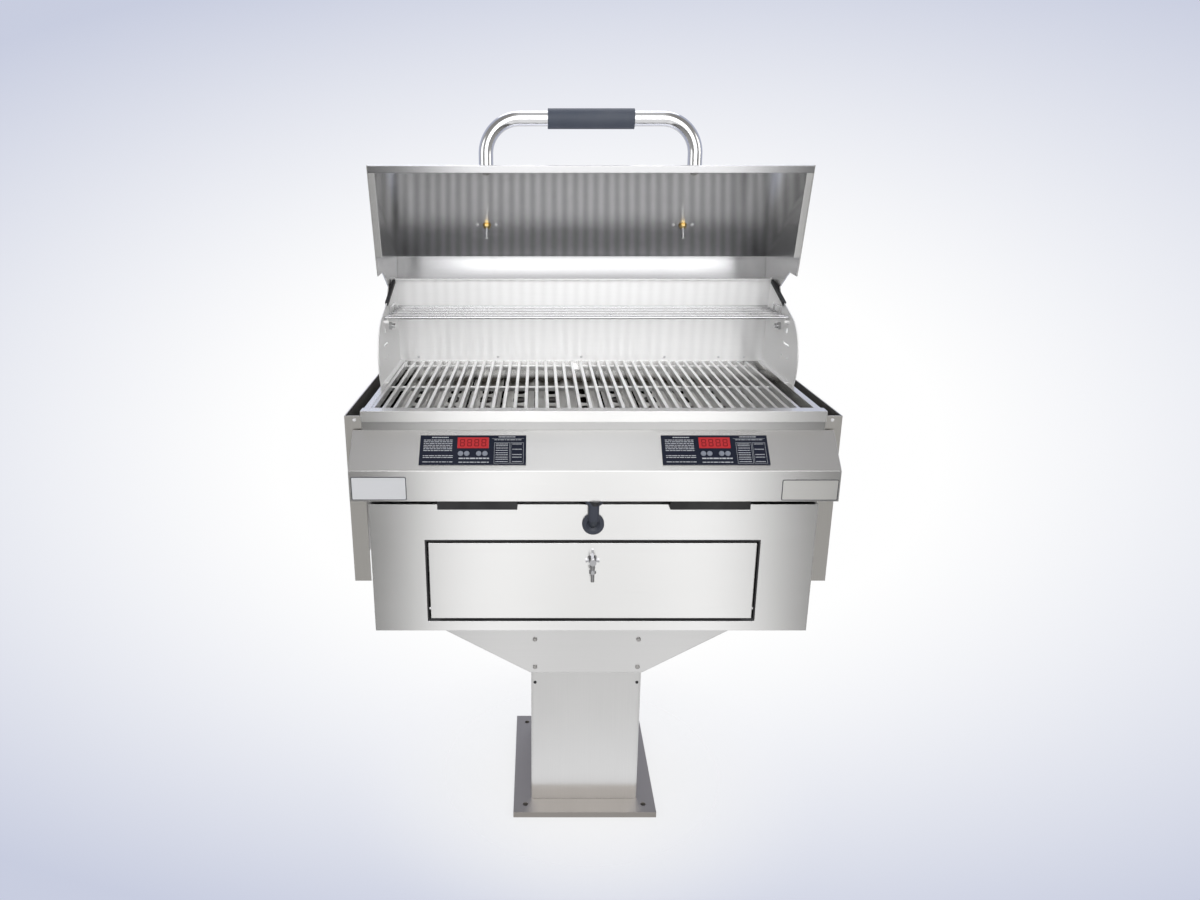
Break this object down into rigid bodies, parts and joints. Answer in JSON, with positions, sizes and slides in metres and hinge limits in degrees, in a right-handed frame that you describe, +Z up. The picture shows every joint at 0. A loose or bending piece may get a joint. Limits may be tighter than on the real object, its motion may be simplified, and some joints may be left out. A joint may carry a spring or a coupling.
{
  "type": "park barbecue grill pedestal",
  "caption": "Stainless electric park grill on a square bolt-down pedestal, with hinged lid, grates, control console and a cabinet with a drop-down door.",
  "frame": {"origin": "centre of the base plate's underside", "axes": "+X to the user's right, +Y to the back, +Z up; the console faces -Y"},
  "size_m": [0.9, 0.5925, 1.43],
  "materials": {
    "satin_steel": "satin brushed stainless, horizontal grain",
    "lid_steel": "fine brushed stainless, near mirror",
    "plate_steel": "darker dull stainless plate",
    "screw_steel": "plain stainless fasteners",
    "bright_steel": "polished stainless",
    "chrome_fitting": "bright chrome",
    "black_rubber": "matte black rubber",
    "black_plastic": "matte black plastic",
    "dark_conduit": "dark slate jacket",
    "sleeve_rubber": "ribless slate foam sleeve",
    "element_sheath": "heat-darkened metal sheath",
    "plate_grey": "grey-olive heat plates",
    "grate_steel": "pale brushed bars",
    "tray_steel": "plain mill finish",
    "panel_black": "black-navy printed film, left bare of words",
    "window_red": "dark red display window",
    "button_grey": "pale grey push buttons",
    "lens_glass": "clear glass",
    "needle_black": "black painted needle",
    "nut_brass": "plain brass"
  },
  "bodies": {
    "pedestal": {"base_plate": "plate_steel", "post": "satin_steel", "post_cover": "satin_steel", "cover_screws": "screw_steel", "gusset_front": "satin_steel", "gusset_rear": "satin_steel", "gusset_screws": "screw_steel", "cabinet_shell": "satin_steel", "cabinet_front": "satin_steel", "cabinet_screws": "screw_steel", "door_gasket": "black_rubber", "hinge_blocks": "black_plastic", "hinge_pins": "bright_steel", "conduit": "dark_conduit", "conduit_gland": "black_plastic", "grommet": "dark_conduit", "grip_strips": "black_rubber", "firebox": "satin_steel", "heating_elements": "element_sheath", "element_legs": "screw_steel", "heat_plates": "plate_grey", "grate_left": "grate_steel", "grate_right": "grate_steel", "grease_tray": "tray_steel", "side_skin_left": "satin_steel", "side_skin_right": "satin_steel", "skin_screws": "screw_steel", "console": "satin_steel", "console_screws": "screw_steel", "control_panels": "panel_black", "display_windows": "window_red", "back_wall": "lid_steel", "cheek_left": "satin_steel", "cheek_right": "satin_steel", "edge_trims": "black_rubber", "pivot_bolts": "bright_steel", "wall_rivets": "bright_steel", "warming_rack": "bright_steel", "rack_bails": "bright_steel"},
    "lid": {"lid_shell": "lid_steel", "lid_side_left": "satin_steel", "lid_side_right": "satin_steel", "handle_tube": "bright_steel", "handle_sleeve": "sleeve_rubber", "handle_bolts": "screw_steel", "thermometer_cases": "bright_steel", "thermometer_lenses": "lens_glass", "thermometer_stems": "bright_steel", "thermometer_nuts": "nut_brass", "thermometer_screws": "bright_steel"},
    "door": {"door": "satin_steel", "latch_base": "chrome_fitting"},
    "latch": {"latch_handle": "chrome_fitting"},
    "needle_left": {"needle_left": "needle_black"},
    "needle_right": {"needle_right": "needle_black"},
    "button_1": {"button_1": "button_grey"},
    "button_2": {"button_2": "button_grey"},
    "button_3": {"button_3": "button_grey"},
    "button_4": {"button_4": "button_grey"},
    "button_5": {"button_5": "button_grey"},
    "button_6": {"button_6": "button_grey"},
    "button_7": {"button_7": "button_grey"},
    "button_8": {"button_8": "button_grey"}
  },
  "joints": [
    {"name": "lid_hinge", "type": "hinge", "parent": "pedestal", "child": "lid", "pos_m": [0, 0.135, 1.004], "axis": [1, 0, 0], "range_deg": [0, 84]},
    {"name": "door_hinge", "type": "hinge", "parent": "pedestal", "child": "door", "pos_m": [0, -0.244, 0.533], "axis": [1, 0, 0], "range_deg": [0, 115]},
    {"name": "latch_turn", "type": "hinge", "parent": "door", "child": "latch", "pos_m": [0, -0.25, 0.636], "axis": [0, -1, 0], "range_deg": [0, 90]},
    {"name": "button_1_press", "type": "slide", "parent": "pedestal", "child": "button_1", "axis": [0, 0.6823, -0.7311], "range_m": [0, 0.001], "stiffness_N_per_m": 300},
    {"name": "button_2_press", "type": "slide", "parent": "pedestal", "child": "button_2", "axis": [0, 0.6823, -0.7311], "range_m": [0, 0.001], "stiffness_N_per_m": 300},
    {"name": "button_3_press", "type": "slide", "parent": "pedestal", "child": "button_3", "axis": [0, 0.6823, -0.7311], "range_m": [0, 0.001], "stiffness_N_per_m": 300},
    {"name": "button_4_press", "type": "slide", "parent": "pedestal", "child": "button_4", "axis": [0, 0.6823, -0.7311], "range_m": [0, 0.001], "stiffness_N_per_m": 300},
    {"name": "button_5_press", "type": "slide", "parent": "pedestal", "child": "button_5", "axis": [0, 0.6823, -0.7311], "range_m": [0, 0.001], "stiffness_N_per_m": 300},
    {"name": "button_6_press", "type": "slide", "parent": "pedestal", "child": "button_6", "axis": [0, 0.6823, -0.7311], "range_m": [0, 0.001], "stiffness_N_per_m": 300},
    {"name": "button_7_press", "type": "slide", "parent": "pedestal", "child": "button_7", "axis": [0, 0.6823, -0.7311], "range_m": [0, 0.001], "stiffness_N_per_m": 300},
    {"name": "button_8_press", "type": "slide", "parent": "pedestal", "child": "button_8", "axis": [0, 0.6823, -0.7311], "range_m": [0, 0.001], "stiffness_N_per_m": 300},
    {"name": "needle_left_turn", "type": "hinge", "parent": "lid", "child": "needle_left", "pos_m": [-0.209, 0.19955, 1.21152], "axis": [0, -0.5303, -0.8478], "range_deg": [0, 270], "stiffness_Nm_per_rad": 0.0005},
    {"name": "needle_right_turn", "type": "hinge", "parent": "lid", "child": "needle_right", "pos_m": [0.209, 0.19955, 1.21152], "axis": [0, -0.5303, -0.8478], "range_deg": [0, 270], "stiffness_Nm_per_rad": 0.0005}
  ]
}
